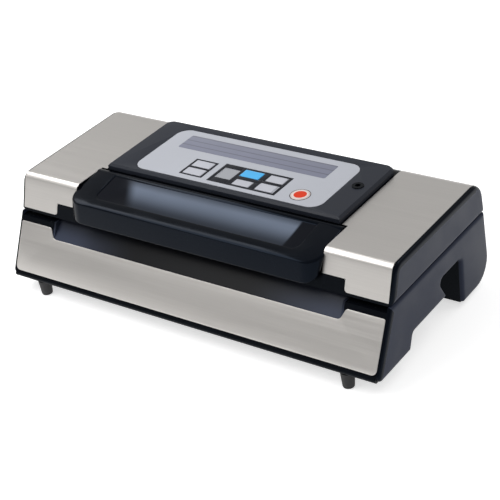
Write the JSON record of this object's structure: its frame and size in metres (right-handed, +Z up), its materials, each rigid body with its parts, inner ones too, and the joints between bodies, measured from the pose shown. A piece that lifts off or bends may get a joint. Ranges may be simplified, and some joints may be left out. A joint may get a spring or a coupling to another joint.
{
  "type": "vacuum sealer",
  "caption": "Countertop vacuum sealer: a low case with a rear-hinged lid, steel panels, a wide front handle and a keyed control panel.",
  "frame": {"origin": "on the surface it stands on, under the middle of its bounding box", "axes": "+X to the right along its width, +Y to the back, +Z up"},
  "size_m": [0.42, 0.2042, 0.1178],
  "materials": {
    "black_plastic": "moulded black plastic with a soft gloss",
    "grey_plastic": "moulded dark blue-grey plastic, satin",
    "panel_grey": "pale grey printed overlay, satin",
    "steel": "fine brushed stainless steel",
    "rubber": "soft black rubber",
    "gasket": "closed-cell black foam rubber",
    "silicone": "pale grey silicone",
    "tape": "brown heat-resistant glass-cloth tape",
    "wire": "flat resistance wire",
    "pin_steel": "turned steel",
    "motor_steel": "zinc-plated steel can",
    "pump_plastic": "off-white engineering plastic",
    "iron": "laminated iron core",
    "copper": "enamelled copper winding",
    "board": "green circuit board",
    "parts": "dark electronic parts",
    "hose": "pale silicone hose",
    "tray": "satin black plastic",
    "window": "smoke-tinted clear plastic",
    "display": "clear display window",
    "key_grey": "grey key",
    "key_blue": "light blue key",
    "key_red": "red key",
    "brass_pins": "plated contact blades"
  },
  "bodies": {
    "base": {"base_housing": "black_plastic", "base_end_cover_left": "grey_plastic", "base_end_cover_right": "grey_plastic", "front_panel": "steel", "bag_shelf": "black_plastic", "front_feet": "rubber", "rear_pads": "rubber", "bottom_cover": "black_plastic", "cover_screws": "pin_steel", "vacuum_tray": "tray", "lower_gasket": "gasket", "seal_bar": "tray", "heating_wire": "wire", "seal_tape": "tape", "pump_housing": "pump_plastic", "pump_motor": "motor_steel", "motor_saddle": "pump_plastic", "vacuum_hose": "hose", "transformer_core": "iron", "transformer_coil": "copper", "power_board": "board", "board_parts": "parts", "power_inlet": "black_plastic", "inlet_pins": "brass_pins", "release_valve": "pump_plastic", "lid_sensor": "parts", "latch_keepers": "pin_steel", "hinge_pins": "pin_steel"},
    "lid": {"lid_shell": "black_plastic", "lid_liner": "tray", "lid_end_cover_left": "grey_plastic", "lid_end_cover_right": "grey_plastic", "lid_panel_left": "steel", "lid_panel_right": "steel", "upper_gasket": "gasket", "pressure_strip": "silicone", "lid_magnet": "pin_steel", "handle_pins": "pin_steel", "control_bezel": "grey_plastic", "control_overlay": "panel_grey", "display_window": "display", "control_board": "board", "key_switches": "parts", "display_module": "parts", "accessory_port": "black_plastic"},
    "handle": {"handle": "black_plastic", "viewing_window": "window"},
    "latch": {"latch_shaft": "pin_steel", "latch_hooks": "pin_steel"},
    "pump_crank": {"pump_crank": "pin_steel"},
    "key_mode_back": {"key_mode_back": "key_grey"},
    "key_mode_front": {"key_mode_front": "key_grey"},
    "key_start": {"key_start": "key_blue"},
    "key_seal": {"key_seal": "key_grey"},
    "key_speed": {"key_speed": "key_grey"},
    "key_food": {"key_food": "key_grey"},
    "key_stop": {"key_stop": "key_red"}
  },
  "joints": [
    {"name": "lid_hinge", "type": "hinge", "parent": "base", "child": "lid", "pos_m": [0, 0.0981, 0.079], "axis": [-1, 0, 0], "range_deg": [0, 62]},
    {"name": "handle_lift", "type": "hinge", "parent": "lid", "child": "handle", "pos_m": [0, -0.0278, 0.1075], "axis": [-1, 0, 0], "range_deg": [-4, 16], "stiffness_Nm_per_rad": 4},
    {"name": "latch_turn", "type": "hinge", "parent": "lid", "child": "latch", "pos_m": [0, -0.054, 0.0822], "axis": [1, 0, 0], "range_deg": [-9, 36]},
    {"name": "pump_spin", "type": "hinge", "parent": "base", "child": "pump_crank", "pos_m": [0.06, 0.0735, 0.04], "axis": [1, 0, 0], "continuous": true},
    {"name": "mode_back_press", "type": "slide", "parent": "lid", "child": "key_mode_back", "axis": [0, 0, -1], "range_m": [0, 0.0008], "stiffness_N_per_m": 400},
    {"name": "mode_front_press", "type": "slide", "parent": "lid", "child": "key_mode_front", "axis": [0, 0, -1], "range_m": [0, 0.0008], "stiffness_N_per_m": 400},
    {"name": "start_press", "type": "slide", "parent": "lid", "child": "key_start", "axis": [0, 0, -1], "range_m": [0, 0.0008], "stiffness_N_per_m": 400},
    {"name": "seal_press", "type": "slide", "parent": "lid", "child": "key_seal", "axis": [0, 0, -1], "range_m": [0, 0.0008], "stiffness_N_per_m": 400},
    {"name": "speed_press", "type": "slide", "parent": "lid", "child": "key_speed", "axis": [0, 0, -1], "range_m": [0, 0.0008], "stiffness_N_per_m": 400},
    {"name": "food_press", "type": "slide", "parent": "lid", "child": "key_food", "axis": [0, 0, -1], "range_m": [0, 0.0008], "stiffness_N_per_m": 400},
    {"name": "stop_press", "type": "slide", "parent": "lid", "child": "key_stop", "axis": [0, 0, -1], "range_m": [0, 0.0008], "stiffness_N_per_m": 400}
  ],
  "couplings": [
    {"joint": "latch_turn", "follows": "handle_lift", "ratio": 2.2}
  ]
}
